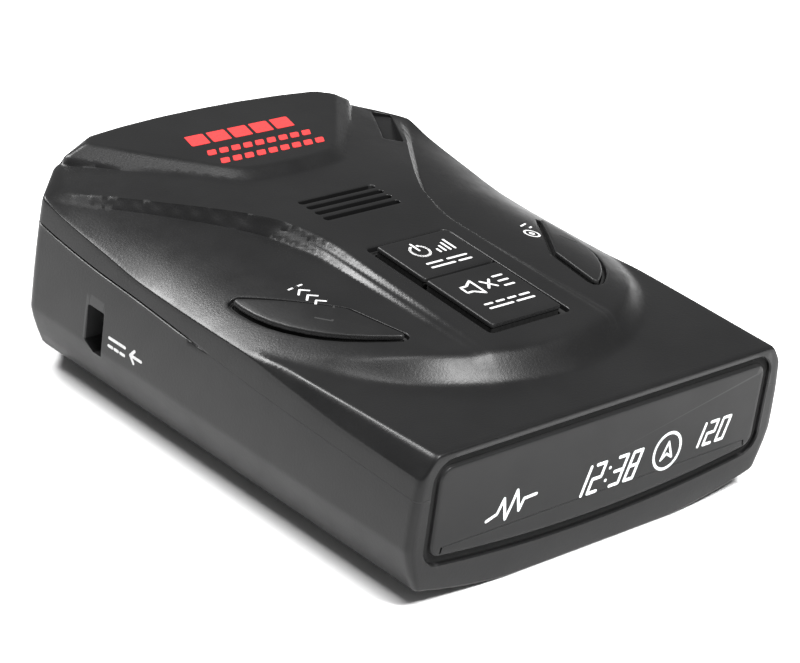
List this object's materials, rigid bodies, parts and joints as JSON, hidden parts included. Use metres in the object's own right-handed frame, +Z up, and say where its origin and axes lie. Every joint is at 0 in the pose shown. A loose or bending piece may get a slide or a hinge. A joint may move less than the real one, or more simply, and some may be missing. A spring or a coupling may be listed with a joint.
{
  "type": "radar detector",
  "caption": "Dashboard radar detector: wedge-shaped case with a display end, two centre keys, leaf-shaped side keys, speaker slots and a rear pad.",
  "frame": {"origin": "centre of the footprint on the flat underside", "axes": "+X to the driver's right, +Y forward to the windscreen, +Z up; the display faces -Y"},
  "size_m": [0.0782, 0.098, 0.0328],
  "materials": {
    "case_plastic": "fine-textured charcoal, satin",
    "key_plastic": "fine-textured charcoal",
    "window_plastic": "smoked, semi-gloss",
    "laser_plastic": "dark red-black filter",
    "black_rubber": "matte black",
    "black_plastic": "moulded black",
    "display_glass": "dark display glass",
    "circuit_board": "green solder mask",
    "flex_film": "amber film",
    "screw_steel": "zinc-black",
    "socket_metal": "tinned",
    "contact_brass": "gold-flashed",
    "horn_metal": "die-cast",
    "speaker_metal": "black",
    "patch_ceramic": "fired ceramic",
    "lens_glass": "clear",
    "speaker_cloth": "woven dust cloth",
    "label_film": "silver film",
    "badge_print": "red print"
  },
  "bodies": {
    "root": {"backup_cell": "socket_metal", "board_connector": "black_plastic", "board_screws": "screw_steel", "case_screws": "screw_steel", "dc_contacts": "contact_brass", "dc_socket": "socket_metal", "display_board": "circuit_board", "display_flex": "flex_film", "display_gasket": "black_rubber", "display_glass": "display_glass", "display_holder": "black_plastic", "display_window": "window_plastic", "gps_antenna": "patch_ceramic", "gps_bracket": "socket_metal", "horn_antenna": "horn_metal", "key_board": "circuit_board", "laser_lens": "lens_glass", "laser_sensor": "black_plastic", "laser_window": "laser_plastic", "left_switch": "socket_metal", "lower_case": "case_plastic", "main_board": "circuit_board", "mixer_board": "circuit_board", "mute_switch": "socket_metal", "pad_badge": "badge_print", "power_switch": "socket_metal", "processor": "black_plastic", "rating_label": "label_film", "rf_shield": "socket_metal", "right_switch": "socket_metal", "speaker": "speaker_metal", "speaker_cloth": "speaker_cloth", "upper_case": "case_plastic"},
    "mute_key": {"mute_button": "key_plastic", "mute_plunger": "black_plastic"},
    "power_key": {"power_button": "key_plastic", "power_plunger": "black_plastic"},
    "left_key": {"left_button": "key_plastic", "left_plunger": "black_plastic"},
    "right_key": {"right_button": "key_plastic", "right_plunger": "black_plastic"}
  },
  "joints": [
    {"name": "mute_press", "type": "slide", "parent": "root", "child": "mute_key", "axis": [0, 0, -1], "range_m": [0, 0.0005], "stiffness_N_per_m": 1500, "springref_m": -0.0003},
    {"name": "power_press", "type": "slide", "parent": "root", "child": "power_key", "axis": [0, 0, -1], "range_m": [0, 0.0005], "stiffness_N_per_m": 1500, "springref_m": -0.0003},
    {"name": "left_press", "type": "slide", "parent": "root", "child": "left_key", "axis": [0, 0, -1], "range_m": [0, 0.0005], "stiffness_N_per_m": 1500, "springref_m": -0.0003},
    {"name": "right_press", "type": "slide", "parent": "root", "child": "right_key", "axis": [0, 0, -1], "range_m": [0, 0.0005], "stiffness_N_per_m": 1500, "springref_m": -0.0003}
  ]
}
